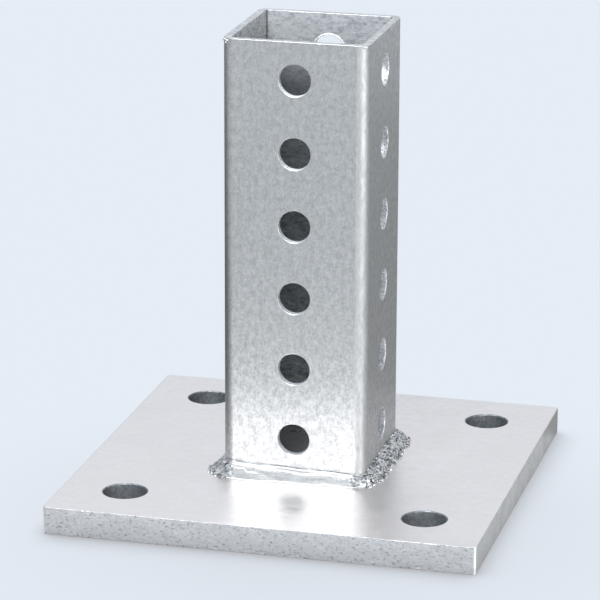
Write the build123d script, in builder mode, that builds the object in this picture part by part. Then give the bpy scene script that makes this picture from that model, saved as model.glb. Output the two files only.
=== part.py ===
import math
import os

from build123d import *

os.makedirs("parts", exist_ok=True)

# All sizes are millimetres and all angles are degrees. The origin is at the centre of the plate's
# underside, +Z is up, and the front of the piece faces -Y.

# Base plate, a square of steel flat bar.
plate_side = 150.0
plate_thickness = 9.525
plate_corner_radius = 1.4
plate_edge_break = 0.5
bolt_hole_diameter = 15.0
bolt_hole_from_edge = 22.5
bolt_hole_edge_break = 0.4

# Column tube, a square tube punched with a row of holes up the middle of each face.
tube_side = 50.8
tube_wall = 2.67
tube_corner_radius = 4.0
tube_rim_break = 0.3
pin_hole_diameter = 11.11
pin_hole_pitch = 25.4
pin_hole_rows = 6
lowest_pin_hole = 14.2
rim_above_top_hole = 13.3
pin_hole_edge_break = 0.25

# Fillet weld, laid by hand in four runs round the foot of the tube. At each corner of the tube
# the reach is measured over the plate and the rise up the tube.
front_left_reach = 5.6
front_left_rise = 4.9
front_right_reach = 3.6
front_right_rise = 3.6
back_right_reach = 4.8
back_right_rise = 4.2
back_left_reach = 4.4
back_left_rise = 4.2

# The crown is how far the bead's face swells beyond a flat one, and the bite is how much spare
# metal each section has under the face before the plate and the tube are cut away from it.
weld_crown = 0.6
weld_bite = 0.8
corner_sections = 4

# A lump is a small dome sunk in the bead's face and built up in tapered steps: the height of each
# step as a share of the lump's radius, and its taper.
lump_sink = 0.6
lump_steps = [(0.95, 8.0), (0.45, 48.0)]
lump_sides = 9

# How evenly each run was laid. The wander is a slow drift of the legs, and the ripple is the step
# from one pool of weld metal to the next.
front_wander = 0.30
front_ripple = 0.12
front_pool_length = 3.6
right_wander = 0.45
right_ripple = 0.50
right_pool_length = 2.7
hidden_wander = 0.25
hidden_ripple = 0.20
hidden_pool_length = 3.6
wander_length = 17.0

# Worked out from the sizes above.
bolt_hole_spacing = plate_side - 2 * bolt_hole_from_edge
tube_length = lowest_pin_hole + pin_hole_pitch * (pin_hole_rows - 1) + rim_above_top_hole
pin_hole_middle = plate_thickness + lowest_pin_hole + pin_hole_pitch * (pin_hole_rows - 1) / 2
corner_centre = tube_side / 2 - tube_corner_radius
half_corner = math.radians(45) * tube_corner_radius
half_run = corner_centre + half_corner


# The plate is cut to a square, its corners are rounded off and four bolt holes go through it.
with BuildPart() as base_plate:
    with BuildSketch():
        RectangleRounded(plate_side, plate_side, plate_corner_radius)
        with GridLocations(bolt_hole_spacing, bolt_hole_spacing, 2, 2):
            Circle(bolt_hole_diameter / 2, mode=Mode.SUBTRACT)
    extrude(amount=plate_thickness)
    flat_faces = base_plate.faces().filter_by(Axis.Z)
    chamfer([edge for face in flat_faces for edge in face.outer_wire().edges()], plate_edge_break)
    flat_faces = base_plate.faces().filter_by(Axis.Z)
    hole_mouths = [wire for face in flat_faces for wire in face.inner_wires()]
    chamfer([edge for wire in hole_mouths for edge in wire.edges()], bolt_hole_edge_break)
base_plate.part.label = "base_plate"
export_step(base_plate.part, "parts/base_plate.step")


# The tube stands on the plate's top face. Its holes are punched from outside, which leaves a
# small turned-in edge round the mouth of each.
with BuildPart() as column_tube:
    with BuildSketch(Plane.XY.offset(plate_thickness)):
        RectangleRounded(tube_side, tube_side, tube_corner_radius)
        offset(amount=-tube_wall, kind=Kind.INTERSECTION, mode=Mode.SUBTRACT)
    extrude(amount=tube_length)
    rim = column_tube.faces().filter_by(Axis.Z).sort_by(Axis.Z)[-1]
    chamfer(rim.edges(), tube_rim_break)
    for wall_plane in (Plane.XZ, Plane.YZ):
        with BuildSketch(wall_plane):
            with Locations((0, pin_hole_middle)):
                with GridLocations(pin_hole_pitch, pin_hole_pitch, 1, pin_hole_rows):
                    Circle(pin_hole_diameter / 2)
        extrude(amount=tube_side, both=True, mode=Mode.SUBTRACT)
    for axis in (Axis.X, Axis.Y):
        walls = column_tube.faces().filter_by(axis).group_by(axis)
        hole_mouths = walls[0][0].inner_wires() + walls[-1][0].inner_wires()
        chamfer([edge for wire in hole_mouths for edge in wire.edges()], pin_hole_edge_break)
column_tube.part.label = "column_tube"
export_step(column_tube.part, "parts/column_tube.step")


def bead_place(facing, place):
    """The foot of the tube's outer wall, and the direction away from it, at one place of a run.

    The place is measured along the wall from the middle of the side, and past the straight part
    it goes round the tube's corner. The facing is the side's turn about Z from the front.
    """
    past_corner = max(abs(place) - corner_centre, 0)
    turn = math.copysign(math.degrees(past_corner / tube_corner_radius), place)
    straight = max(-corner_centre, min(corner_centre, place))
    outward = Vector(0, -1, 0).rotate(Axis.Z, facing + turn)
    centre = Vector(straight, -corner_centre, plate_thickness).rotate(Axis.Z, facing)
    return centre + outward * tube_corner_radius, outward


def bead_legs(place, left_legs, right_legs, wander):
    """The reach and the rise at one place of a run, between those of its two corners."""
    share = (place / half_run + 1) / 2
    evenness = 1 - (2 * share - 1) ** 4
    drift = evenness * wander * math.sin(math.tau * place / wander_length)
    reach = left_legs[0] + (right_legs[0] - left_legs[0]) * share
    rise = left_legs[1] + (right_legs[1] - left_legs[1]) * share
    return reach + drift, rise - drift / 2


def lay_run(facing, left_legs, right_legs, wander, ripple, pool_length, lumps):
    """One run of weld along a side, from the middle of one corner of the tube to the next.

    Each pool of metal starts low and swells to a crest before the next one covers its end. The
    lumps are spatter and high spots: a share of the way along, a share of the way up the face
    (below nothing is out on the plate) and a radius.
    """
    pools = round(2 * corner_centre / pool_length)
    pool_step = 2 * corner_centre / pools
    sections = []
    for number in range(pools):
        start = number * pool_step - corner_centre
        unevenness = math.sin(number ** 2)
        sections.append((start, 0))
        sections.append((start + 0.4 * pool_step, ripple * (0.7 + 0.3 * unevenness)))
    sections.append((corner_centre, 0))
    for number in range(1, corner_sections + 1):
        corner_place = corner_centre + half_corner * number / corner_sections
        sections.append((corner_place, 0))
        sections.insert(0, (-corner_place, 0))

    with BuildPart() as run:
        for place, swell in sections:
            foot, outward = bead_place(facing, place)
            reach, rise = bead_legs(place, left_legs, right_legs, wander)
            reach = reach + swell
            rise = rise + swell / 2
            face_normal = Vector(rise, reach).normalized()
            crest = Vector(reach / 2, rise / 2) + face_normal * (weld_crown + swell / 2)
            along = outward.cross(Vector(0, 0, 1))
            with BuildSketch(Plane(foot, x_dir=outward, z_dir=along)):
                with BuildLine():
                    Polyline(
                        (0, rise),
                        (-weld_bite, rise),
                        (-weld_bite, -weld_bite),
                        (reach, -weld_bite),
                        (reach, 0),
                    )
                    ThreePointArc((reach, 0), (crest.X, crest.Y), (0, rise))
                make_face()
        loft(ruled=True)
        for share, height, radius in lumps:
            place = (2 * share - 1) * half_run
            foot, outward = bead_place(facing, place)
            reach, rise = bead_legs(place, left_legs, right_legs, wander)
            up = Vector(0, 0, 1)
            seat = foot + outward * reach * (1 - height) + up * rise * max(height, 0)
            lump_plane = Plane(seat, z_dir=outward * rise + up * reach)
            level = -lump_sink * radius
            width = radius
            for height, taper in lump_steps:
                with BuildSketch(lump_plane.offset(level)):
                    RegularPolygon(width, lump_sides)
                extrude(amount=height * radius, taper=taper)
                level = level + height * radius
                slope = math.tan(math.radians(taper)) / math.cos(math.pi / lump_sides)
                width = width - height * radius * slope
        with BuildSketch(Plane.XY.offset(plate_thickness)):
            Rectangle(plate_side, plate_side)
        extrude(amount=-plate_thickness, mode=Mode.SUBTRACT)
        with BuildSketch(Plane.XY.offset(plate_thickness)):
            RectangleRounded(tube_side, tube_side, tube_corner_radius)
        extrude(amount=tube_length, mode=Mode.SUBTRACT)
    return run


front_left = (front_left_reach, front_left_rise)
front_right = (front_right_reach, front_right_rise)
back_right = (back_right_reach, back_right_rise)
back_left = (back_left_reach, back_left_rise)

# The front run is the smoothest. Its left end stopped in a burst of spatter.
front_lumps = [
    (0.03, 0.15, 1.7),
    (0.00, -0.12, 1.2),
    (0.06, -0.08, 1.0),
    (0.91, 0.05, 0.9),
    (0.97, 0.20, 1.3),
]
weld_front = lay_run(
    0, front_left, front_right, front_wander, front_ripple, front_pool_length, front_lumps
)
weld_front.part.label = "weld_front"
export_step(weld_front.part, "parts/weld_front.step")

# The right run is coarse and uneven, with lumps all along it.
right_lumps = [
    (0.03, 0.30, 1.3),
    (0.13, 0.05, 1.0),
    (0.24, 0.55, 0.8),
    (0.35, 0.10, 1.0),
    (0.46, 0.40, 0.9),
    (0.58, 0.05, 1.1),
    (0.69, 0.50, 0.8),
    (0.82, 0.15, 1.1),
    (0.94, 0.35, 1.2),
]
weld_right = lay_run(
    90, front_right, back_right, right_wander, right_ripple, right_pool_length, right_lumps
)
with weld_right:
    add(weld_front.part, mode=Mode.SUBTRACT)
weld_right.part.label = "weld_right"
export_step(weld_right.part, "parts/weld_right.step")

# The back and left runs face away from the eye.
weld_back = lay_run(
    180, back_right, back_left, hidden_wander, hidden_ripple, hidden_pool_length, []
)
with weld_back:
    add(weld_right.part, mode=Mode.SUBTRACT)
weld_back.part.label = "weld_back"
export_step(weld_back.part, "parts/weld_back.step")

weld_left = lay_run(
    270, back_left, front_left, hidden_wander, hidden_ripple, hidden_pool_length, []
)
with weld_left:
    add(weld_front.part, mode=Mode.SUBTRACT)
weld_left.part.label = "weld_left"
export_step(weld_left.part, "parts/weld_left.step")
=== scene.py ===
# %% [markdown]
# # Column base plate
# A square perforated tube stands on a square plate and is welded to it all round. A post is pinned
# in the tube and the plate is bolted to concrete. The whole is zinc plated, so every surface is
# bare metal, and what the eye sees is mostly reflected light.
#
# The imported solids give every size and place. This script puts a finely modelled piece in the
# place of each solid, with the worn, cut and welded surfaces of the real one, and finishes them.

# %% Load the solids
import math
import random

import bmesh
import bpy
from mathutils import Matrix, Vector, noise


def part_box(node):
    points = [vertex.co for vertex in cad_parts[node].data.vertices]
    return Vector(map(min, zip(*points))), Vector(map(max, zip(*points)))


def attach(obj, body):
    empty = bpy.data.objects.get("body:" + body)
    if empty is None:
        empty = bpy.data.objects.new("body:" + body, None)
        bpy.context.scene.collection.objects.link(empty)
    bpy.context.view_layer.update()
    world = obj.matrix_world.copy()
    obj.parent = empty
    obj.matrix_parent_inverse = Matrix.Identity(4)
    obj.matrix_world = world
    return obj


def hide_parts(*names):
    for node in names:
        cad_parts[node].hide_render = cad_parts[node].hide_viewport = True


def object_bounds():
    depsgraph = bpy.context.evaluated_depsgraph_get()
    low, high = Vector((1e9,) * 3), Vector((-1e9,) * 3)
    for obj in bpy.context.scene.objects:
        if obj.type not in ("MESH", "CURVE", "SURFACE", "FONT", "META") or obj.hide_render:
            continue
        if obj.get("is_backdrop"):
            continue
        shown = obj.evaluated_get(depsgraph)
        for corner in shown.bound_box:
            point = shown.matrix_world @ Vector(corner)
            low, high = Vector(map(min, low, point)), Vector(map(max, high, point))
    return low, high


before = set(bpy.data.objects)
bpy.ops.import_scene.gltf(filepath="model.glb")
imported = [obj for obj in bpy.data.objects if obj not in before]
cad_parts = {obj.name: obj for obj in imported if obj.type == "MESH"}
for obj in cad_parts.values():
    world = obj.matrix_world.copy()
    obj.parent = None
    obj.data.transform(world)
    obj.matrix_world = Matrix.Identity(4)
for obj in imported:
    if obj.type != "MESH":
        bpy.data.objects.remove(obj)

scene = bpy.context.scene
solid_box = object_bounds()
mm = 0.001
print("nodes:", sorted(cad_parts))
print("solids measure", [round((high - low) / mm, 2) for low, high in zip(*solid_box)], "mm")

# %% [markdown]
# ## Two small helpers for colours and nodes
# Colours are written as they look on a screen, in sRGB hex. Blender mixes light in linear numbers,
# so one function turns the one into the other. Materials are small networks of nodes, and one
# function adds a node with its settings and its links, which keeps each network short to read.

# %% Colours and nodes
def linear(hex_colour):
    """Turns an sRGB hex colour into the linear numbers that Blender works in."""
    channels = [int(hex_colour[place:place + 2], 16) / 255 for place in (1, 3, 5)]
    return [c / 12.92 if c <= 0.04045 else ((c + 0.055) / 1.055) ** 2.4 for c in channels] + [1.0]


def add_node(tree, kind, inputs=None, **settings):
    """Adds one node to a tree, sets it, and gives each named input a number or a link."""
    made = tree.nodes.new(kind)
    for name, value in settings.items():
        setattr(made, name, value)
    for socket, source in (inputs or {}).items():
        if isinstance(source, bpy.types.NodeSocket):
            tree.links.new(source, made.inputs[socket])
        else:
            made.inputs[socket].default_value = source
    return made


print("the half grey #808080 is", round(linear("#808080")[0], 3), "in linear numbers")

# %% [markdown]
# ## Camera
# The picture was taken with a long lens, from a little above and to the right of the front. The
# place, the turn and the lens were worked out from forty points of the plate's corners and the
# tube's holes, whose places on the real object are known.

# %% Camera
picture_width = 600
focal_length = 3416.7    # in pixels of that picture
camera_place = (0.27950, -1.10536, 0.41131)
yaw = math.radians(14.4007)
pitch = math.radians(-16.8148)
roll = math.radians(0.2111)

camera_data = bpy.data.cameras.new("camera")
camera_data.sensor_width = 36.0
camera_data.lens = camera_data.sensor_width * focal_length / picture_width
camera_data.clip_start = 0.05
camera_data.clip_end = 20.0
camera = bpy.data.objects.new("camera", camera_data)
scene.collection.objects.link(camera)
scene.camera = camera
camera.matrix_world = (
    Matrix.Translation(camera_place)
    @ Matrix.Rotation(yaw, 4, "Z")
    @ Matrix.Rotation(math.pi / 2 + pitch, 4, "X")
    @ Matrix.Rotation(roll, 4, "Z")
)
print("camera lens", round(camera_data.lens, 1), "mm, at", [round(v, 3) for v in camera_place])
scene.view_settings.view_transform = "Standard"

# %% [markdown]
# ## Backdrop
# The part stands on plain pale paper, which rises behind it. Bare metal shows its surroundings, so
# the paper's colour is given to what the camera sees and also to what the metal and any glass
# reflect. Only the ceiling of this studio is greyer, so that the metal keeps its own tone when it
# is seen from above. The light that the world throws is set apart from that, at a plain level.

# %% Backdrop
backdrop_colour = linear("#E5ECF4")
ceiling_colour = linear("#74787D")


def shown_ray(tree):
    """A socket that is 1 for what the camera sees, straight or in metal or glass, and else 0."""
    path = add_node(tree, "ShaderNodeLightPath").outputs
    straight = {0: path["Is Camera Ray"], 1: path["Is Glossy Ray"]}
    mirrored = add_node(tree, "ShaderNodeMath", straight, operation="MAXIMUM")
    glass = {0: mirrored.outputs[0], 1: path["Is Transmission Ray"]}
    return add_node(tree, "ShaderNodeMath", glass, operation="MAXIMUM").outputs[0]


world = bpy.data.worlds.new("studio")
scene.world = world
world.use_nodes = True
tree = world.node_tree
tree.nodes.clear()
fill = add_node(tree, "ShaderNodeBackground", {"Color": linear("#E8ECF2"), "Strength": 0.2})
# In a world, these coordinates are the direction in which a ray leaves the scene.
direction = add_node(tree, "ShaderNodeTexCoord").outputs["Generated"]
upwards = add_node(tree, "ShaderNodeSeparateXYZ", {0: direction}).outputs["Z"]
rise = {"Value": upwards, "From Min": 0.6, "From Max": 0.92}
high = add_node(tree, "ShaderNodeMapRange", rise, interpolation_type="SMOOTHSTEP").outputs[0]
# A Mix node has one set of sockets for each kind of data: 0, 6 and 7 are those of colours.
walls_and_ceiling = {0: high, 6: backdrop_colour, 7: ceiling_colour}
room = add_node(tree, "ShaderNodeMix", walls_and_ceiling, data_type="RGBA").outputs[2]
shown = add_node(tree, "ShaderNodeBackground", {"Color": room, "Strength": 1.0})
either = {0: shown_ray(tree), 1: fill.outputs[0], 2: shown.outputs[0]}
mix = add_node(tree, "ShaderNodeMixShader", either)
add_node(tree, "ShaderNodeOutputWorld", {"Surface": mix.outputs[0]})
print("backdrop in linear numbers:", [round(channel, 3) for channel in backdrop_colour[:3]])

# %% [markdown]
# ## Floor
# The floor is mostly lit paper, which keeps the part's shadow, and partly its own glow, a reddish
# one, which keeps the shadow pale and turns it a little purple, as in the picture. It lies a hair
# below the part's underside, so that the two don't coincide.

# %% Floor
floor_reach = 6.0    # metres from the middle to each side
floor_height = -0.05 * mm

paper = bpy.data.materials.new("matt paper")
paper.use_nodes = True
tree = paper.node_tree
tree.nodes.clear()
lit = add_node(tree, "ShaderNodeBsdfDiffuse", {"Color": linear("#D4E1ED")})
glow = add_node(tree, "ShaderNodeEmission", {"Color": linear("#553C1A"), "Strength": 1.0})
nothing = add_node(tree, "ShaderNodeEmission", {"Color": (0, 0, 0, 1), "Strength": 0.0})
either = {0: shown_ray(tree), 1: nothing.outputs[0], 2: glow.outputs[0]}
even = add_node(tree, "ShaderNodeMixShader", either)
both = add_node(tree, "ShaderNodeAddShader", {0: lit.outputs[0], 1: even.outputs[0]})
add_node(tree, "ShaderNodeOutputMaterial", {"Surface": both.outputs[0]})


def add_stage_sheet(name, size, place, material):
    """A flat sheet of the studio, which isn't part of the object."""
    bm = bmesh.new()
    bmesh.ops.create_grid(bm, x_segments=1, y_segments=1, size=size, matrix=place)
    mesh = bpy.data.meshes.new(name)
    bm.to_mesh(mesh)
    bm.free()
    mesh.materials.append(material)
    sheet = bpy.data.objects.new(name, mesh)
    scene.collection.objects.link(sheet)
    sheet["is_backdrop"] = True
    return sheet


floor = add_stage_sheet("floor", floor_reach, Matrix.Translation((0, 0, floor_height)), paper)
print("floor of paper,", floor.dimensions.x, "m wide")

# %% [markdown]
# ## Lamps
# Bare metal is drawn by what it reflects, so every lamp is a large soft one and is set for one
# task. Daylight from above falls on the paper alone, evenly, and gives the part its short soft
# shadow. A broad overhead lamp lights the part and the inside of its tube. A lamp high in front
# lights the plate and the tube, and the plate throws that light up on the foot of the tube, which
# is brightest there. The weld beads face that lamp and would glare, so they are left out of its
# light. A low lamp at the right draws the bright line down the tube's corner.

# %% Lamps
def add_lamp(kind, name, place, aim, strength, colour="#FFFFFF"):
    """A lamp that looks from its place at a point on the part."""
    data = bpy.data.lights.new(name, kind)
    data.energy = strength
    data.color = linear(colour)[:3]
    lamp = bpy.data.objects.new(name, data)
    scene.collection.objects.link(lamp)
    away = Vector(place) - Vector(aim)
    turn = away.to_track_quat("Z", "Y").to_matrix().to_4x4()
    lamp.matrix_world = Matrix.Translation(place) @ turn
    print(name, "is", round(away.length, 2), "m away and has the strength", strength)
    return lamp


daylight = add_lamp("SUN", "daylight on the floor", (-0.25, 0.7, 2.5), (0, 0, 0), 2.92)
daylight.data.angle = math.radians(86)
overhead = add_lamp("AREA", "overhead", (0, 0.66, 1.2), (0, 0.66, 0), 7.5)
overhead.data.shape = "RECTANGLE"
overhead.data.size = 1.9
overhead.data.size_y = 2.5
high_front = add_lamp("AREA", "high front", (-0.15, -0.94, 1.24), (0, -0.03, 0.03), 51, "#F4F9FF")
high_front.data.shape = "RECTANGLE"
high_front.data.size = 0.5
high_front.data.size_y = 1.0
low_right = add_lamp("AREA", "low right", (0.95, -0.6, 0.18), (0, 0, 0.09), 8)
low_right.data.size = 0.6

# A lamp with a receiver collection lights only the objects in it. The pieces join theirs when they
# are finished, below.
floor_lit = bpy.data.collections.new("lit by the daylight")
floor_lit.objects.link(floor)
daylight.light_linking.receiver_collection = floor_lit
lamp_lit = bpy.data.collections.new("lit by the lamps")
for lamp in (overhead, low_right):
    lamp.light_linking.receiver_collection = lamp_lit
front_lit = bpy.data.collections.new("lit by the front lamp")
high_front.light_linking.receiver_collection = front_lit

# %% [markdown]
# ## Cards for the sides to reflect
# With pale paper all round, every side of the tube would be equally bright. A photographer of metal
# lays darker cards beside it, out of the picture. A grey one behind on the right turns the tube's
# right side grey, and a black one on the left draws the dark line down the left corner. The lamp
# in front would make a bright pool on the paper before the plate, and the tube mirrors that pool
# above its foot. The paper is kept even for the eye, so a white card stands for the pool. Here
# the cards show only in the metal: the camera doesn't see them and they throw no shadow.

# %% Cards
card_height = 0.2 * mm


def add_card(name, colour, left, right, front, back, strength=1.0):
    """A card of one even tone that lies on the floor and shows only in reflections."""
    card_paper = bpy.data.materials.new(name + " paper")
    card_paper.use_nodes = True
    tree = card_paper.node_tree
    tree.nodes.clear()
    even_tone = {"Color": linear(colour), "Strength": strength}
    tone = add_node(tree, "ShaderNodeEmission", even_tone)
    add_node(tree, "ShaderNodeOutputMaterial", {"Surface": tone.outputs[0]})
    size = Matrix.Diagonal(((right - left) / 2, (back - front) / 2, 1, 1))
    place = Matrix.Translation(((left + right) / 2, (front + back) / 2, card_height))
    card = add_stage_sheet(name, 1.0, place @ size, card_paper)
    card.visible_camera = False
    card.visible_diffuse = False
    card.visible_shadow = False
    print(name, "measures", [round(v, 2) for v in card.dimensions[:2]], "m")
    return card


add_card("grey card", "#A9ACAF", 0.03, 0.9, 0.07, 0.62)
add_card("black card", "#525254", -0.9, -0.10, -0.15, 1.0)
white_card = add_card("white card", "#F4F9FF", -0.10, 0.16, -0.165, -0.102, strength=1.9)
# A card this bright would light the paper under it and glare in the weld, so only the plate and
# the tube get its light.
card_lit = bpy.data.collections.new("lit by the white card")
white_card.light_linking.receiver_collection = card_lit

# %% [markdown]
# ## What all the pieces share
# Each piece is made as a mesh with bmesh, the part of Blender that models in code. When it is done
# it becomes an object that stands in for its solid. A sharp corner on real steel is always a
# little rounded, and one function says how far such a rounding draws the surface back. The faces
# are shaded smooth and their normals weighted by area, so the flats stay flat and only the
# roundings turn.

# %% Finishing a piece
def finish_piece(name, bm, node, slot, materials):
    """Turns a mesh into the piece that stands for one solid, and rides on the part."""
    bmesh.ops.recalc_face_normals(bm, faces=bm.faces[:])
    for face in bm.faces:
        face.smooth = True
    mesh = bpy.data.meshes.new(name)
    open_edges = sum(1 for edge in bm.edges if len(edge.link_faces) != 2)
    bm.to_mesh(mesh)
    bm.free()
    for material in materials:
        mesh.materials.append(material)
    piece = bpy.data.objects.new(name, mesh)
    scene.collection.objects.link(piece)
    weighted = piece.modifiers.new("even normals", "WEIGHTED_NORMAL")
    weighted.keep_sharp = True
    lamp_lit.objects.link(piece)
    if slot != "weld_metal":
        front_lit.objects.link(piece)
        card_lit.objects.link(piece)
    piece.visible_diffuse = False
    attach(piece, "root")
    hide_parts(node)
    triangles = sum(len(polygon.vertices) - 2 for polygon in mesh.polygons)
    print(name, "has", triangles, "triangles and", open_edges, "open edges")


def rounding(distance, radius):
    """How far a rounded edge lies behind the sharp one, at a distance from that edge."""
    gap = radius - max(0, min(radius, distance))
    return radius - math.sqrt(radius ** 2 - gap ** 2)


def closer_to_ends(share):
    """Moves evenly spread rows towards both ends, where the roundings need them."""
    return share - 0.85 * math.sin(math.tau * share) / math.tau


print("0.1 mm in, a 0.3 mm rounding lies back", round(rounding(0.1, 0.3), 3), "mm")

# %% [markdown]
# ## Zinc plating
# The steel is electroplated with zinc: a thin crystalline skin, silver grey with a trace of blue,
# that follows the steel's own surface. On drawn tube the skin is fine-grained. On the rolled top
# of the plate it is smoother and clouded. Where the steel was sheared, sawn or punched it is matt
# and mottled. One function builds the plating with different numbers for each of them. Zinc is a
# metal, so all its colour is in its reflection, and its grain shows as small changes of colour,
# roughness and slope.

# %% Zinc plating
def plated(name, pale, dull, smoothest, roughest, grain, depth, cloud, stretch=(1, 1, 1)):
    """Zinc plating over one kind of steel surface.

    The grain and the cloud are the sizes in metres of the fine and the broad mottling, the depth
    is how high the grain stands, and the stretch squeezes the pattern along each axis.
    """
    material = bpy.data.materials.new(name)
    material.use_nodes = True
    tree = material.node_tree
    shader = tree.nodes["Principled BSDF"]
    shader.inputs["Metallic"].default_value = 1.0
    place = add_node(tree, "ShaderNodeTexCoord").outputs["Object"]
    lie = add_node(tree, "ShaderNodeMapping", {"Vector": place, "Scale": stretch}).outputs[0]
    fine_settings = {"Vector": lie, "Scale": 1 / grain, "Detail": 3.0, "Roughness": 0.6}
    fine = add_node(tree, "ShaderNodeTexNoise", fine_settings)
    broad_settings = {"Vector": lie, "Scale": 1 / cloud, "Detail": 4.0, "Roughness": 0.55}
    broad = add_node(tree, "ShaderNodeTexNoise", broad_settings)
    shares = {0: fine.outputs["Fac"], 1: broad.outputs["Fac"]}
    mottle = add_node(tree, "ShaderNodeMath", shares, operation="ADD")
    spread_numbers = {"Value": mottle.outputs[0], "From Min": 0.75, "From Max": 1.25}
    spread = add_node(tree, "ShaderNodeMapRange", spread_numbers)
    tones = {0: spread.outputs[0], 6: linear(dull), 7: linear(pale)}
    tone = add_node(tree, "ShaderNodeMix", tones, data_type="RGBA")
    tree.links.new(tone.outputs[2], shader.inputs["Base Color"])
    gloss = {"Value": spread.outputs[0], "To Min": roughest, "To Max": smoothest}
    rough = add_node(tree, "ShaderNodeMapRange", gloss)
    tree.links.new(rough.outputs[0], shader.inputs["Roughness"])
    slope = {"Height": fine.outputs["Fac"], "Strength": 1.0, "Distance": depth}
    bump = add_node(tree, "ShaderNodeBump", slope)
    tree.links.new(bump.outputs[0], shader.inputs["Normal"])
    print("material:", name, "with a grain of", round(grain / mm, 2), "mm")
    return material


# %% [markdown]
# ## Hollows, pits and shade
# Not every surface keeps one even tone. Rough metal gets painted shade in its hollows, a cut edge
# is speckled with small pits, and a bore gets painted shade by its depth. All three only change a
# plating that is there already, so each is a function that adds a few nodes between a plating's
# tone and its shader.

# %% Changes to the plating
def paint_shade_in_hollows(material, low, high, dark):
    """Paints shade into a rough surface towards its hollows, between two heights in mm."""
    tree = material.node_tree
    shader = tree.nodes["Principled BSDF"]
    tone = shader.inputs["Base Color"].links[0].from_socket
    height = add_node(tree, "ShaderNodeAttribute", attribute_name="height").outputs["Fac"]
    range_numbers = {"Value": height, "From Min": low, "From Max": high}
    share = add_node(tree, "ShaderNodeMapRange", range_numbers).outputs[0]
    tones = {0: share, 6: linear(dark), 7: tone}
    mixed = add_node(tree, "ShaderNodeMix", tones, data_type="RGBA")
    tree.links.new(mixed.outputs[2], shader.inputs["Base Color"])


def add_flecks(material, size, above, dark, depth, stretch=(1, 1, 1)):
    """Scatters small dark pits over a surface, where a noise of their size rises above a level."""
    tree = material.node_tree
    shader = tree.nodes["Principled BSDF"]
    tone = shader.inputs["Base Color"].links[0].from_socket
    slope = shader.inputs["Normal"].links[0].from_socket
    place = add_node(tree, "ShaderNodeTexCoord").outputs["Object"]
    lie = {"Vector": place, "Rotation": (0, math.radians(12), 0), "Scale": stretch}
    spots_settings = {"Scale": 1 / size, "Detail": 2.0, "Roughness": 0.5}
    spots_settings["Vector"] = add_node(tree, "ShaderNodeMapping", lie).outputs[0]
    spots = add_node(tree, "ShaderNodeTexNoise", spots_settings).outputs["Fac"]
    levels = {"Value": spots, "From Min": above, "From Max": above + 0.06}
    share = add_node(tree, "ShaderNodeMapRange", levels).outputs[0]
    tones = {0: share, 6: tone, 7: linear(dark)}
    mixed = add_node(tree, "ShaderNodeMix", tones, data_type="RGBA")
    tree.links.new(mixed.outputs[2], shader.inputs["Base Color"])
    sunk = {"Height": share, "Strength": 1.0, "Distance": depth, "Normal": slope}
    bump = add_node(tree, "ShaderNodeBump", sunk, invert=True)
    tree.links.new(bump.outputs[0], shader.inputs["Normal"])


def paint_shade_by_depth(material, rim_height, shades):
    """Paints shade into the plating of a bore, each shade given with its depth in mm below the rim.
    """
    tree = material.node_tree
    shader = tree.nodes["Principled BSDF"]
    tone = shader.inputs["Base Color"].links[0].from_socket
    place = add_node(tree, "ShaderNodeTexCoord").outputs["Object"]
    height = add_node(tree, "ShaderNodeSeparateXYZ", {0: place}).outputs["Z"]
    deepest = shades[-1][0] * mm
    depths = {"Value": height, "From Min": rim_height, "From Max": rim_height - deepest}
    share = add_node(tree, "ShaderNodeMapRange", depths).outputs[0]
    ramp = add_node(tree, "ShaderNodeValToRGB", {"Fac": share})
    stops = ramp.color_ramp.elements
    while len(stops) < len(shades):
        stops.new(0.5)
    for stop, (depth, shade) in zip(stops, shades):
        stop.position = depth * mm / deepest
        stop.color = linear(shade)
    tones = {0: 1.0, 6: tone, 7: ramp.outputs["Color"]}
    mixed = add_node(tree, "ShaderNodeMix", tones, data_type="RGBA", blend_type="MULTIPLY")
    tree.links.new(mixed.outputs[2], shader.inputs["Base Color"])

# %% [markdown]
# ## Base plate: the flat sheet
# The plate was cut from flat bar. Its outline and holes could be made with booleans, but those
# leave untidy faces beside each cut. Here the outline is one square face whose corners are
# bevelled, its holes are circles, and the flat between them is filled with triangles in one go.
# The long edges are divided first, because the cut walls that grow from them need many points to
# be rough.

# %% Base plate sheet
plate_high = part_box("base_plate")[1]
tube_low, tube_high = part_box("column_tube")
plate_half = plate_high.x
plate_thickness = plate_high.z
plate_corner = 1.4 * mm
bolt_radius = 7.5 * mm
bolt_place = 52.5 * mm
cut_edge_parts = 380
bar_edge_parts = 150

plate = bmesh.new()
bmesh.ops.create_grid(plate, x_segments=1, y_segments=1, size=plate_half)
bmesh.ops.bevel(
    plate, geom=plate.verts[:], offset=plate_corner, offset_type="OFFSET", segments=6,
    profile=0.5, affect="VERTICES", material=-1,
)
bmesh.ops.delete(plate, geom=plate.faces[:], context="FACES_ONLY")
bolt_centres = [(x, y) for x in (-bolt_place, bolt_place) for y in (-bolt_place, bolt_place)]
for x, y in bolt_centres:
    there = Matrix.Translation((x, y, 0))
    bmesh.ops.create_circle(plate, cap_ends=False, radius=bolt_radius, segments=64, matrix=there)
bmesh.ops.triangle_fill(plate, use_beauty=True, edges=plate.edges[:], normal=(0, 0, 1))

long_edges = [edge for edge in plate.edges if edge.is_boundary and edge.calc_length() > 10 * mm]
cut_edges = [edge for edge in long_edges if abs(edge.verts[0].co.y - edge.verts[1].co.y) < mm]
bar_edges = [edge for edge in long_edges if edge not in cut_edges]
bmesh.ops.subdivide_edges(plate, edges=cut_edges, cuts=cut_edge_parts - 1)
bmesh.ops.subdivide_edges(plate, edges=bar_edges, cuts=bar_edge_parts - 1)
print("plate sheet:", len(plate.faces), "triangles")

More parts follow.
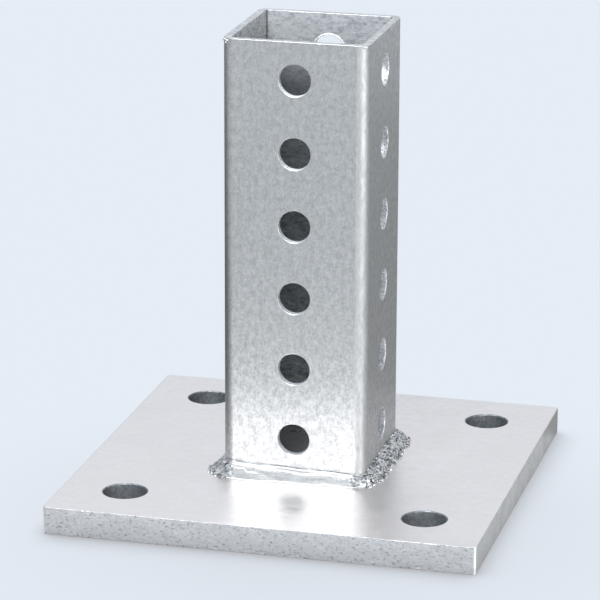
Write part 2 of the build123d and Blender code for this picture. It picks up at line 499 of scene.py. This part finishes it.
# %% [markdown]
# ## Base plate: the cut walls
# The sheet is extruded to the plate's thickness and the walls are divided into rows. The front and
# back were sheared off the bar, and the shear tore them: they are rough and pitted, and their
# arris wanders. The other two sides are the bar's own rolled edges, so they are nearly smooth.
# Each point of a wall is drawn back into the steel by its share of the rounding, the roughness
# and the pits, so the walls never stand proud of the solid.

# %% Base plate walls
plate_wall_rows = 26
bolt_hole_rounding = 0.4 * mm
bar_edge_rounding = 0.3 * mm


def sheared(x, z, side):
    """How far a sheared wall lies behind the true one, in metres.

    Broad waves, a torn grain and pits add up. Their heights are in millimetres, and a larger
    number at a spot makes a finer pattern.
    """
    spot = Vector((x / mm, z / mm, side * 40.0))
    broad = 0.10 + 0.10 * noise.noise(spot * 0.16)
    torn = 0.10 * abs(noise.fractal(spot * 0.75, 1.0, 2.0, 3))
    distances, centres = noise.voronoi(spot * 0.85)
    deep = max(0.0, noise.noise(centres[0] * 3.7 + Vector((9.0, 0.0, 0.0))))
    pit = deep * 0.45 * max(0.0, 1.0 - distances[0] / 0.42)
    return max(0.0, broad + torn + pit) * mm


def plate_wall_sink(x, y, z, towards_y, from_end):
    """How far one point of the plate's outer walls is drawn back. Those towards Y were sheared."""
    if towards_y:
        wander = noise.noise(Vector((x / (1.1 * mm), 0, y * 900)))
        slow = noise.noise(Vector((x / (18 * mm), 5.0, y * 900)))
        arris = max(0.01, 0.05 + 0.04 * wander + 0.08 * slow) * mm
        return rounding(from_end, arris) + sheared(x, z, y)
    ripple = noise.noise(Vector((y / (9 * mm), z / (4 * mm), x * 50)))
    return rounding(from_end, bar_edge_rounding) + (0.05 + 0.02 * ripple) * mm


grown = bmesh.ops.extrude_face_region(plate, geom=plate.faces[:])
upper = [part for part in grown["geom"] if isinstance(part, bmesh.types.BMVert)]
bmesh.ops.translate(plate, verts=upper, vec=(0, 0, plate_thickness))
upright = [e for e in plate.edges if abs(e.verts[0].co.z - e.verts[1].co.z) > 5 * mm]
bmesh.ops.subdivide_edges(plate, edges=upright, cuts=plate_wall_rows - 1, use_grid_fill=True)

inner_half = plate_half - plate_corner
for vertex in plate.verts:
    share = closer_to_ends(vertex.co.z / plate_thickness)
    vertex.co.z = share * plate_thickness
    from_end = min(vertex.co.z, plate_thickness - vertex.co.z)
    x, y, z = vertex.co
    nearest = min(bolt_centres, key=lambda centre: math.hypot(x - centre[0], y - centre[1]))
    from_axis = Vector((x - nearest[0], y - nearest[1], 0))
    if from_axis.length < bolt_radius + mm:
        burr = 0.06 * noise.noise(vertex.co / (1.5 * mm))
        drawn_back = rounding(from_end, bolt_hole_rounding) + (0.06 + burr) * mm
        vertex.co += from_axis.normalized() * drawn_back
        continue
    corner = Vector((max(-inner_half, min(inner_half, x)), max(-inner_half, min(inner_half, y)), z))
    outward = (vertex.co - corner).normalized()
    vertex.co -= outward * plate_wall_sink(x, y, z, abs(outward.y) > 0.7, from_end)
print("plate solid:", len(plate.verts), "points")

# %% [markdown]
# ## Base plate: its finishes
# One bath plated the whole plate, but each way of cutting steel leaves its own surface under the
# zinc, so the plate has five finishes. Each face gets one by where it lies: the finish of the tool
# that made it, with painted shade in the drilled bolt holes and a painted highlight on the four
# upright corners.

# %% Base plate piece
# Rolling left the top flat and smooth, so its zinc shines broadly and only clouds a little. Its
# real grain is too fine to show, so it is drawn at 3 mm.
rolled_top = plated(
    "zinc plated steel, rolled", "#E8E4E2", "#DFDAD9", 0.31, 0.40, 3 * mm, 0.0005 * mm, 14 * mm,
)
# Shearing tore the steel, so these edges are matt and speckled with dark pits.
sheared_edge = plated(
    "zinc plated steel, sheared", "#CCCBCA", "#B2B1B1", 0.42, 0.62, 0.7 * mm, 0.02 * mm, 3 * mm,
)
add_flecks(sheared_edge, 0.6 * mm, 0.59, "#969A9D", 0.012 * mm, (0.45, 1, 1))
# The bar's own edges were rolled: smoother and a little warmer, with a few shallow dents.
bar_edge = plated(
    "zinc plated steel, rolled bar edge", "#CFCCC8", "#B8B6B3", 0.36, 0.46,
    0.8 * mm, 0.01 * mm, 8 * mm,
)
add_flecks(bar_edge, 0.8 * mm, 0.66, "#A0A2A3", 0.02 * mm, (1, 0.5, 1))
# The drill left rough walls, and painted shade darkens the bolt holes.
drilled_with_painted_shade = plated(
    "zinc plated steel, drilled", "#95989B", "#5F6265", 0.5, 0.65, 0.5 * mm, 0.04 * mm, 1.5 * mm,
)
# The four upright corners carry a painted highlight.
corner_painted_highlight = plated(
    "zinc plated steel, upright_corner_painted_highlight", "#FAFAFA", "#DCDCDC", 0.4, 0.6, 0.5 * mm, 0.02 * mm, 2 * mm,
)
plate_finishes = [rolled_top, sheared_edge, bar_edge, drilled_with_painted_shade, corner_painted_highlight]
for face in plate.faces:
    middle = face.calc_center_median()
    heights = [vertex.co.z for vertex in face.verts]
    if min(heights) > plate_thickness - 0.001 * mm or max(heights) < 0.001 * mm:
        finish = rolled_top
    elif max(abs(middle.x), abs(middle.y)) < plate_half - 5 * mm:
        finish = drilled_with_painted_shade
    elif min(abs(middle.x), abs(middle.y)) > plate_half - 0.8 * mm:
        finish = corner_painted_highlight
    elif abs(middle.y) > plate_half - mm:
        finish = sheared_edge
    else:
        finish = bar_edge
    face.material_index = plate_finishes.index(finish)
finish_piece("flat_bar_plate", plate, "base_plate", "plated_plate", plate_finishes)

# %% [markdown]
# ## Column tube: one wall, then the ring
# The tube is alike on all four sides, so only one wall is drawn: a tall rectangle with its six
# round holes, filled with triangles. Its right edge is spun a quarter turn to make the rounded
# corner, the wall and the corner are copied round by three quarter turns, and the seams are
# merged. Solidify then gives the ring its thickness, which also makes the hole walls.

# %% Column tube ring
tube_half = tube_high.x
tube_wall = 2.67 * mm
tube_corner = 4.0 * mm
corner_centre = tube_half - tube_corner
pin_radius = 5.555 * mm
lowest_pin = 14.2 * mm
pin_pitch = 25.4 * mm
pin_heights = [tube_low.z + lowest_pin + pin_pitch * row for row in range(6)]
rim_parts = 64

tube = bmesh.new()
facing_front = Matrix.Translation((0, -tube_half, (tube_low.z + tube_high.z) / 2))
facing_front = facing_front @ Matrix.Rotation(math.pi / 2, 4, "X")
wall_size = Matrix.Diagonal((corner_centre, (tube_high.z - tube_low.z) / 2, 1, 1))
bmesh.ops.create_grid(tube, x_segments=1, y_segments=1, size=1, matrix=facing_front @ wall_size)
bmesh.ops.delete(tube, geom=tube.faces[:], context="FACES_ONLY")
for height in pin_heights:
    there = Matrix.Translation((0, -tube_half, height)) @ Matrix.Rotation(math.pi / 2, 4, "X")
    bmesh.ops.create_circle(tube, cap_ends=False, radius=pin_radius, segments=56, matrix=there)
bmesh.ops.triangle_fill(tube, use_beauty=True, edges=tube.edges[:], normal=(0, -1, 0))

right_points = [v for v in tube.verts if abs(v.co.x - corner_centre) < 0.01 * mm]
right_edges = [e for e in tube.edges if all(v in right_points for v in e.verts)]
bmesh.ops.spin(
    tube, geom=right_points + right_edges, cent=(corner_centre, -corner_centre, 0),
    axis=(0, 0, 1), dvec=(0, 0, 0), angle=math.pi / 2, steps=12,
)
bmesh.ops.spin(
    tube, geom=tube.verts[:] + tube.edges[:] + tube.faces[:], cent=(0, 0, 0),
    axis=(0, 0, 1), dvec=(0, 0, 0), angle=math.pi * 1.5, steps=3, use_duplicate=True,
)
bmesh.ops.remove_doubles(tube, verts=tube.verts[:], dist=0.001 * mm)
bmesh.ops.recalc_face_normals(tube, faces=tube.faces[:])
bmesh.ops.solidify(tube, geom=tube.faces[:], thickness=tube_wall)

rim_edges = []
for edge in tube.edges:
    level_ends = all(vertex.co.z > tube_high.z - 0.01 * mm for vertex in edge.verts)
    if level_ends and edge.calc_length() > 10 * mm:
        rim_edges.append(edge)
bmesh.ops.subdivide_edges(tube, edges=rim_edges, cuts=rim_parts - 1, use_grid_fill=True)
print("tube ring:", len(tube.faces), "faces")

# %% [markdown]
# ## Column tube: punched holes and sawn rim
# A punch rounds the mouth of a hole where it goes in and tears the steel further down, so the hole
# walls get a small rounding and then a rough band. The rim was sawn and lightly broken. The walls
# made by Solidify are divided into rows, and each point moves by its depth in the tube's wall.

# %% Column tube holes and rim
tube_wall_rows = 9


def depth_in_wall(point):
    """How deep a point lies below the tube's outer surface."""
    beside = Vector((max(abs(point.x) - corner_centre, 0), max(abs(point.y) - corner_centre, 0)))
    return tube_corner - beside.length


through = []
for edge in tube.edges:
    depths = sorted(depth_in_wall(vertex.co) for vertex in edge.verts)
    if depths[0] < 0.3 * mm and depths[1] > tube_wall - 0.3 * mm:
        through.append(edge)
bmesh.ops.subdivide_edges(tube, edges=through, cuts=tube_wall_rows - 1, use_grid_fill=True)

# Painted shade on the hole walls follows a height at each point: here the depth in the wall, upside
# down, so that a hole's mouth stays bright and the wall darkens towards the bore.
heights = tube.verts.layers.float.new("height")
for vertex in tube.verts:
    depth = depth_in_wall(vertex.co)
    vertex[heights] = 1.5 - depth / mm
    flat_x = abs(vertex.co.x) > abs(vertex.co.y)
    outward = Vector((vertex.co.x, 0, 0)) if flat_x else Vector((0, vertex.co.y, 0))
    outward.normalize()
    level = min(pin_heights, key=lambda height: abs(height - vertex.co.z))
    across = vertex.co - outward * outward.dot(vertex.co) - Vector((0, 0, level))
    share = depth / tube_wall
    if across.length < pin_radius + 0.2 * mm:
        vertex.co -= outward * (closer_to_ends(share) - share) * tube_wall
        depth = closer_to_ends(share) * tube_wall
        torn = noise.fractal(vertex.co / (1.1 * mm), 1.0, 2.0, 3)
        rough = (0.05 + 0.09 * abs(torn) * min(depth / mm, 1.0)) * mm
        draw = rounding(depth, 0.2 * mm) + rounding(tube_wall - depth, 0.1 * mm) + rough
        vertex.co += across.normalized() * draw
    elif vertex.co.z > tube_high.z - 0.01 * mm:
        corner = Vector((max(-corner_centre, min(corner_centre, vertex.co.x)),
                         max(-corner_centre, min(corner_centre, vertex.co.y)), vertex.co.z))
        out = (vertex.co - corner).normalized()
        vertex.co -= out * (closer_to_ends(share) - share) * tube_wall
        depth = closer_to_ends(share) * tube_wall
        sawn = 0.05 * mm * (1 + noise.noise(vertex.co / (0.8 * mm)))
        vertex.co.z -= rounding(min(depth, tube_wall - depth), 0.15 * mm) + sawn
print("tube solid:", len(tube.verts), "points")

# %% [markdown]
# ## Column tube: lips inside
# The punch went in from outside and pushed a low lip of steel up round each hole on the inside. One
# lip is a small circle spun round the hole's axis. It is copied up the wall to the other holes,
# and the row is copied round to the other walls. The lips are made in a mesh of their own, because
# a spin is slow in a big one, and then joined to the tube.

# %% Column tube lips
lip_radius = 0.28 * mm
lip_from_hole = 0.35 * mm
lip_unevenness = 0.12 * mm

lips = bmesh.new()
lowest = Vector((0, -tube_half + tube_wall, pin_heights[0]))
beside_hole = Matrix.Translation(lowest + Vector((pin_radius + lip_from_hole, 0, 0)))
bmesh.ops.create_circle(lips, segments=8, radius=lip_radius, matrix=beside_hole)
bmesh.ops.spin(
    lips, geom=lips.verts[:] + lips.edges[:], cent=lowest, axis=(0, 1, 0),
    dvec=(0, 0, 0), angle=math.tau, steps=40, use_merge=True,
)
first_lip = lips.verts[:] + lips.edges[:] + lips.faces[:]
for height in pin_heights[1:]:
    copied = bmesh.ops.duplicate(lips, geom=first_lip)["geom"]
    points = [part for part in copied if isinstance(part, bmesh.types.BMVert)]
    bmesh.ops.translate(lips, verts=points, vec=(0, 0, height - pin_heights[0]))
for vertex in lips.verts:
    vertex.co.y += lip_unevenness * noise.noise(vertex.co / (2 * mm))
bmesh.ops.spin(
    lips, geom=lips.verts[:] + lips.edges[:] + lips.faces[:], cent=(0, 0, 0),
    axis=(0, 0, 1), dvec=(0, 0, 0), angle=math.pi * 1.5, steps=3, use_duplicate=True,
)
print("lips round the holes:", len(lips.faces), "faces")

lip_mesh = bpy.data.meshes.new("lips")
lips.to_mesh(lip_mesh)
lips.free()
tube.from_mesh(lip_mesh)
bpy.data.meshes.remove(lip_mesh)

# %% [markdown]
# ## Column tube: burrs
# The saw left small burrs at the two front corners of the rim, where the plating made them rounder.
# Each one is a squashed ball sunk in the corner. The list gives the end (left or right), the turn
# round the corner in degrees, and how far below the rim and how big the ball is in millimetres.

# %% Column tube burrs
burrs = [(-1, 212, 0.9, 0.55), (-1, 222, 0.55, 0.45), (-1, 236, 0.8, 0.5), (-1, 228, 1.7, 0.4)]
burrs += [(1, 306, 0.6, 0.45), (1, 318, 0.75, 0.5)]
for end, turn, below, size in burrs:
    corner = Vector((end * corner_centre, -corner_centre, tube_high.z - below * mm))
    away = Vector((math.cos(math.radians(turn)), math.sin(math.radians(turn)), 0))
    squash = Matrix.Diagonal((1.2, 1.0, 0.8, 1.0))
    there = Matrix.Translation(corner + away * tube_corner) @ squash
    bmesh.ops.create_icosphere(tube, subdivisions=2, radius=size * mm, matrix=there)
print("tube with lips and burrs:", len(tube.verts), "points")

# %% [markdown]
# ## Column tube: its finishes
# The tube was drawn, its holes were punched and its end was sawn, and then it was plated with the
# plate. The inside gets painted shade that changes with depth, and a darker painted shade in its
# four inner corners. The corner that stands nearest to the camera was scuffed in handling, which
# spreads its shine into a broad soft line.

# %% Column tube piece
# Drawing left a fine even grain, silver grey, with few and shallow dark specks.
drawn_tube = plated(
    "zinc plated steel, drawn tube", "#C0C0BE", "#9C9C9B", 0.36, 0.46,
    0.6 * mm, 0.008 * mm, 1.8 * mm, (1, 1, 0.7),
)
add_flecks(drawn_tube, 0.6 * mm, 0.66, "#8E9192", 0.005 * mm)
# This corner is more matt, in streaks along the tube.
scuffed_corner = plated(
    "zinc plated steel, scuffed corner", "#BEBEBC", "#A2A2A1", 0.44, 0.54,
    0.6 * mm, 0.008 * mm, 1.8 * mm, (1, 1, 0.3),
)
# The bore is matt and blotchy, with painted shade that is darkest between the first and second
# holes.
tube_bore = plated(
    "zinc plated steel, tube bore", "#E6E7E7", "#96989A", 0.45, 0.6,
    0.7 * mm, 0.03 * mm, 1.6 * mm, (0.6, 0.6, 1.2),
)
painted_bore_shades = [(9, "#FFFFFF"), (27, "#8E9193"), (54, "#CACED0"), (105, "#DADEE0"), (155, "#F6F8F9")]
paint_shade_by_depth(tube_bore, tube_high.z, painted_bore_shades)
# The bore's four inner corners are darker still, with painted shade.
bore_corner_painted_shade = plated(
    "zinc plated steel, inner corner", "#7C7E80", "#5E6062", 0.5, 0.6,
    0.6 * mm, 0.02 * mm, 5 * mm,
)
# The punch tore the hole walls, so they glitter, and painted shade darkens them towards the bore.
punched = plated(
    "zinc plated steel, punched", "#FFFFFF", "#B4B7BA", 0.45, 0.75, 0.6 * mm, 0.05 * mm, 1.2 * mm,
)
paint_shade_in_hollows(punched, -0.9, -0.1, "#B8BBBE")
# The saw left fine scratches, which the zinc evens out to a pale matt rim.
sawn_rim = plated(
    "zinc plated steel, sawn", "#DADADB", "#A2A3A5", 0.4, 0.5, 0.8 * mm, 0.02 * mm, 3 * mm,
)
# A face gets its finish by how deep it lies in the wall, and the corners by their place.
tube_finishes = [drawn_tube, tube_bore, punched, sawn_rim, scuffed_corner, bore_corner_painted_shade]
face_band = 0.06 * mm
for face in tube.faces:
    middle = face.calc_center_median()
    depth = depth_in_wall(middle)
    if depth < -0.01 * mm:
        finish = sawn_rim    # the burrs, which stand out of the corners
    elif depth < face_band:
        nearest_corner = min(middle.x, -middle.y) > corner_centre
        finish = scuffed_corner if nearest_corner else drawn_tube
    elif depth > tube_wall + face_band:
        finish = punched     # the lips, which stand into the tube
    elif depth > tube_wall - face_band:
        in_corner = min(abs(middle.x), abs(middle.y)) > corner_centre + 0.72 * mm
        finish = bore_corner_painted_shade if in_corner else tube_bore
    elif middle.z > tube_high.z - mm or middle.z < tube_low.z + mm:
        finish = sawn_rim
    else:
        finish = punched
    face.material_index = tube_finishes.index(finish)
finish_piece("perforated_tube", tube, "column_tube", "plated_tube", tube_finishes)

# %% [markdown]
# ## The weld beads
# Each side of the tube's foot has one run of fillet weld, laid by hand. In section a run is a
# triangle with a swollen face, from its toe on the plate to its toe on the tube. It goes from the
# middle of one corner of the tube to the middle of the next. The same path gave the solids, so a
# run lies where its solid lies.

# %% Weld path
half_corner = math.radians(45) * tube_corner
half_run = corner_centre + half_corner
# The reach over the plate and the rise up the tube at each corner, in metres.
front_left = (5.6 * mm, 4.9 * mm)
front_right = (3.6 * mm, 3.6 * mm)
back_right = (4.8 * mm, 4.2 * mm)
back_left = (4.4 * mm, 4.2 * mm)
# How far the face swells beyond a flat one, and the length of one slow drift of the legs.
weld_crown = 0.6 * mm
wander_length = 17 * mm


def bead_place(facing, place):
    """The foot of the tube's outer wall, and the direction away from it, at one place of a run."""
    past_corner = max(abs(place) - corner_centre, 0)
    turn = math.copysign(past_corner / tube_corner, place)
    straight = max(-corner_centre, min(corner_centre, place))
    side = Matrix.Rotation(math.radians(facing), 3, "Z")
    outward = side @ Matrix.Rotation(turn, 3, "Z") @ Vector((0, -1, 0))
    centre = side @ Vector((straight, -corner_centre, plate_thickness))
    return centre + outward * tube_corner, outward


def bead_legs(place, left_legs, right_legs, wander):
    """The reach and the rise at one place of a run, between those of its two corners."""
    share = (place / half_run + 1) / 2
    evenness = 1 - (2 * share - 1) ** 4
    drift = evenness * wander * math.sin(math.tau * place / wander_length)
    reach = left_legs[0] + (right_legs[0] - left_legs[0]) * share
    rise = left_legs[1] + (right_legs[1] - left_legs[1]) * share
    return reach + drift, rise - drift / 2


print("each run is", round(2 * half_run / mm, 1), "mm long, measured at the tube's wall")

# %% [markdown]
# ## The surface of the weld
# The front run was laid hot and smooth: long strands run with it, and a thin groove marks where it
# meets the tube. The right run was laid cold: it froze in crusty lumps with gaps, darkened by
# painted shade. The two hidden runs have plain frozen ripples. One function gives the height of
# each kind of surface over the smooth bead. It knows the place along the run, how far up the face
# it is from toe to toe, and the point in space.

# %% Weld surface
def crusty_skin(place, up, point):
    """Frozen lumps with gaps between them, for the right run and the ends of the front run."""
    spot = point / mm
    lumps = 0.0
    for size, height in ((1.1, 0.26), (0.6, 0.24)):
        distances = noise.voronoi(spot / size)[0]
        lumps += height * (1 - 2.5 * distances[0] ** 2)
    crumbs = 0.25 * noise.fractal(spot / 0.4, 1.0, 2.0, 2)
    return (lumps + crumbs) * mm


def smooth_skin(place, up, point):
    """Lengthwise strands and a groove at the tube, for the front run, which ends in crust."""
    strands = noise.noise(Vector((place / (7 * mm), up * 5.0, 3.0))) * 0.24
    fine = noise.fractal(Vector((place / (1.2 * mm), up * 9.0, 7.0)), 1.0, 2.0, 2) * 0.10
    groove = -0.40 * math.exp(-((up - 0.95) / 0.045) ** 2)
    smooth = (strands + fine + groove) * mm
    share = max(0.0, min(1.0, (abs(place) - 20 * mm) / (2 * mm)))
    most = 0.6 if place > 0 else 1.0
    return smooth * (1 - share) + crusty_skin(place, up, point) * share * most


def rippled_skin(place, up, point):
    """Even ripples, each the edge of one frozen pool, for the hidden runs."""
    lag = 1.3 * mm * (2 * up - 1) ** 2
    phase = math.tau * (place + lag) / (1.9 * mm)
    sway = noise.noise(point / (4 * mm))
    return (0.12 * math.sin(phase + sway) + 0.10 * sway) * mm


for kind in (crusty_skin, smooth_skin, rippled_skin):
    tries = [kind(step * mm, 0.5, Vector((step * mm, 0, 0))) / mm for step in range(-24, 25)]
    print(kind.__name__, "lies between", round(min(tries), 2), "and", round(max(tries), 2), "mm")

# %% [markdown]
# ## Laying a bead
# A bead could be a curve with a bevel, but a fillet's section has a corner at each toe and it
# changes all along the run. So a closed cylinder is divided round and along. Most of its points
# make the face of the weld, and the rest are tucked into the root, where nobody sees them. The
# face is raised by its kind of surface, and each point keeps its height for the finish to use.

# %% Laying a bead
def lay_bead(bm, facing, left_legs, right_legs, wander, skin):
    """One closed run of weld along a side of the tube."""
    around = 32
    face_points = 26
    lengthwise = 220
    tucked_in = 0.4 * mm
    tucked_under = 0.2 * mm
    heights = bm.verts.layers.float.new("height")
    bmesh.ops.create_cone(bm, cap_ends=True, segments=around, radius1=1, radius2=1, depth=2)
    long_edges = [e for e in bm.edges if abs(e.verts[0].co.z - e.verts[1].co.z) > 1]
    bmesh.ops.subdivide_edges(bm, edges=long_edges, cuts=lengthwise - 1, use_grid_fill=True)
    for vertex in bm.verts:
        number = round(math.atan2(vertex.co.y, vertex.co.x) / math.tau * around) % around
        place = vertex.co.z * half_run
        foot, outward = bead_place(facing, place)
        reach, rise = bead_legs(place, left_legs, right_legs, wander)
        up = number / face_points
        if number <= face_points:
            # The face is an arch over the flat from toe to toe, and it is rough between its toes.
            across = Vector((rise, reach)).normalized()
            swell = weld_crown * 4 * up * (1 - up)
            flat = Vector((reach * (1 - up), rise * up))
            over = flat + across * swell
            point = foot + outward * over.x + Vector((0, 0, over.y))
            fade = min(1.0, 4 * up, 20 * (1 - up)) if number else 0.0
            raised = skin(place, up, point)
            over += across * raised * fade
            vertex[heights] = raised / mm
        else:
            # The back goes down behind the tube's wall and out under the plate's top.
            back = (number - face_points) / (around - face_points)
            over = Vector((-tucked_in + reach * max(0.0, 2 * back - 1), -tucked_under))
            if back < 0.5:
                over = Vector((-tucked_in, rise * (1 - 2 * back)))
        vertex.co = foot + outward * over.x + Vector((0, 0, over.y))


def add_drop(bm, centre, radius, turn, long_by=1.0, dip=0.0, level=0.0):
    """One frozen drop of spatter, a small squashed ball that may be drawn out into a string."""
    lie = Matrix.Translation(centre) @ Matrix.Rotation(turn, 4, "Z") @ Matrix.Rotation(dip, 4, "Y")
    squash = Matrix.Diagonal((long_by, 1.0, 0.8, 1.0))
    made = bmesh.ops.create_icosphere(bm, subdivisions=2, radius=radius, matrix=lie @ squash)
    heights = bm.verts.layers.float["height"]
    for vertex in made["verts"]:
        vertex[heights] = level


# %% [markdown]
# ## The finishes of the weld
# Weld metal has no rolled or drawn skin: its surface is as it froze. The finishes of the two runs
# that show get painted shade in their deep gaps and hollows, by the height that each point of a
# bead carries, and keep their pale tone on the high spots.

# %% Weld finishes
# Hot weld metal froze smooth, so the front run is nearly as bright as the plate.
weld_smooth = plated(
    "zinc plated weld, smooth", "#FFFEFC", "#ECECEB", 0.38, 0.55, 0.7 * mm, 0.03 * mm, 3 * mm,
)
# Painted shade darkens the groove where the run meets the tube, and the other hollows.
paint_shade_in_hollows(weld_smooth, -0.34, 0.05, "#B8BBBE")
# Cold weld metal froze in lumps, which glitter beside gaps that painted shade makes nearly black.
weld_crust = plated(
    "zinc plated weld, crusty", "#FFFFFF", "#7C7F82", 0.35, 0.6, 0.6 * mm, 0.05 * mm, 1.5 * mm,
)
paint_shade_in_hollows(weld_crust, -0.12, 0.16, "#1E2123")
# Spatter froze as loose drops, paler than the crust, with painted shade on low drops and hollows.
weld_spatter = plated(
    "zinc plated weld spatter", "#FFFFFF", "#A8AAAC", 0.35, 0.6, 0.6 * mm, 0.05 * mm, 1.5 * mm,
)
paint_shade_in_hollows(weld_spatter, -0.2, 0.2, "#66696B")
# The plain ripples of the hidden runs are even and satin.
weld_rippled = plated(
    "zinc plated weld, rippled", "#DADADA", "#A9ABAD", 0.42, 0.58, 0.7 * mm, 0.03 * mm, 3 * mm,
)

# %% [markdown]
# ## The front run
# The welder stopped at the left end of this run, where a burst of drops and strings froze on the
# plate. They are small squashed balls, scattered over a fan round the tube's corner with a fixed
# seed, so that they lie the same each time. Towards both ends the smooth finish gives way to the
# finish of spatter, along a ragged line.

# %% Front weld run
front_wander = 0.30 * mm
burst_drops = 120
burst_fan = (172, 262)      # degrees round the tube's corner
burst_reach = (0.6, 6.2)    # mm out from the tube
bead_height = 4.3           # mm at the tube, falling to nothing at the toe
bead_toe = 5.6              # mm out from the tube

chance = random.Random(11)
front_run = bmesh.new()
lay_bead(front_run, 0, front_left, front_right, front_wander, smooth_skin)
arc_centre = Vector((-corner_centre, -corner_centre, plate_thickness))
for number in range(burst_drops):
    turn = math.radians(chance.uniform(*burst_fan))
    out = chance.uniform(*burst_reach)
    drop = Vector((math.cos(turn), math.sin(turn), 0)) * (tube_corner + out * mm)
    on_bead = bead_height * (1 - out / bead_toe)
    drop.z = max(0.15, on_bead + chance.uniform(-0.3, 0.5)) * mm
    string = number % 3 == 0 and out < 5
    radius = chance.uniform(0.16, 0.26) * mm if string else chance.uniform(0.18, 0.5) * mm
    long_by = 6.0 if string else chance.choice((1, 1.4))
    slant = math.radians(40) if out < 5 else 0.0
    twist = turn + chance.uniform(-0.6, 0.6)
    level = chance.choice((-0.1, 0.05, 0.3, 0.5))
    add_drop(front_run, arc_centre + drop, radius, twist, long_by, slant, level)

for face in front_run.faces:
    middle = face.calc_center_median()
    ragged = 1.6 * mm * noise.noise(middle / mm)
    if abs(middle.x) > 21 * mm + ragged:
        face.material_index = 1
front_skins = [weld_smooth, weld_spatter]
finish_piece("front_bead", front_run, "weld_front", "weld_metal", front_skins)

# %% [markdown]
# ## The right run
# This run was laid too cold to flow. Crumbs lie all along its toe on the plate, and every fourth
# one sticks to the tube above it.

# %% Right weld run
right_wander = 0.45 * mm
crumbs = 150

right_run = bmesh.new()
lay_bead(right_run, 90, front_right, back_right, right_wander, crusty_skin)
for number in range(crumbs):
    place = chance.uniform(-1, 1) * half_run
    foot, outward = bead_place(90, place)
    reach, rise = bead_legs(place, front_right, back_right, right_wander)
    radius = chance.uniform(0.2, 0.55) * mm
    if number % 4 == 0:
        high = rise + chance.uniform(-0.6, 0.8) * mm
        spot = foot + outward * radius * 0.4 + Vector((0, 0, high))
    else:
        out = reach + chance.uniform(-0.6, 1.4) * mm
        spot = foot + outward * out + Vector((0, 0, radius * 0.4))
    turn = chance.uniform(0, math.tau)
    long_by = chance.choice((1, 1.5))
    add_drop(right_run, spot, radius, turn, long_by, 0.0, chance.choice((0.0, 0.1, 0.2, 0.4)))
finish_piece("right_bead", right_run, "weld_right", "weld_metal", [weld_crust])

# %% [markdown]
# ## The back and left runs
# The picture doesn't show these two, so they are plain fillets with even ripples. The left run is
# a little slimmer at its front end, where it meets the end of the front run.

# %% Hidden weld runs
hidden_wander = 0.25 * mm
left_run_end = (4.4 * mm, 4.2 * mm)

back_run = bmesh.new()
lay_bead(back_run, 180, back_right, back_left, hidden_wander, rippled_skin)
finish_piece("back_bead", back_run, "weld_back", "weld_metal", [weld_rippled])

left_run = bmesh.new()
lay_bead(left_run, 270, back_left, left_run_end, hidden_wander, rippled_skin)
finish_piece("left_bead", left_run, "weld_left", "weld_metal", [weld_rippled])

# %% [markdown]
# The boxes of the finished pieces and of the solids are compared, and how far each corner moved
# is printed. The finished pieces may not be larger than the solids.

# %% Finish
shown_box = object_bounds()
grown_by = [[round((a - b) / mm, 3) for a, b in zip(*pair)] for pair in zip(shown_box, solid_box)]
print("corners moved by", grown_by, "mm")
